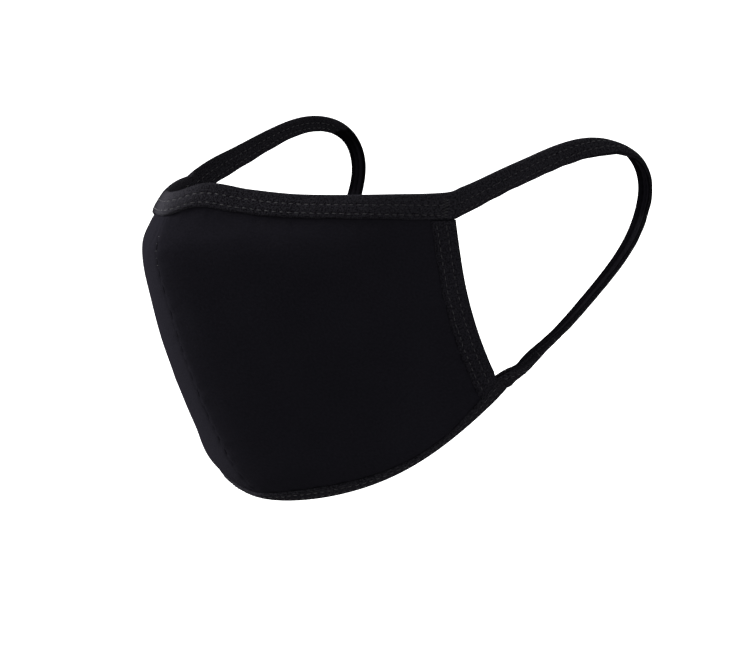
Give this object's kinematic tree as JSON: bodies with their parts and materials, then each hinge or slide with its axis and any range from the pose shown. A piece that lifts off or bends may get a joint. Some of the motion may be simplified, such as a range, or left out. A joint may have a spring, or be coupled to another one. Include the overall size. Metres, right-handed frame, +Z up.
{
  "type": "cloth face mask",
  "caption": "Black knitted-cotton face mask in its worn shape: two panels on a curved centre seam, tape-bound edges and twisting tape ear loops.",
  "frame": {"origin": "the middle of the wearer's nose bridge, inside the top edge where the mask sits", "axes": "+X to the wearer's left, +Y towards the back of the head, +Z up along the wearer's head"},
  "size_m": [0.1546, 0.1674, 0.1274],
  "materials": {
    "panel_cloth": "matte fine jersey",
    "binding_tape": "matte ribbed tape",
    "hem_cloth": "matte coarse knit",
    "stitch_thread": "satin thread"
  },
  "bodies": {
    "root": {"left_panel": "panel_cloth", "right_panel": "panel_cloth", "top_binding": "binding_tape", "bottom_binding": "binding_tape", "left_side_hem": "hem_cloth", "right_side_hem": "hem_cloth", "left_ear_loop": "binding_tape", "right_ear_loop": "binding_tape"}
  },
  "joints": []
}
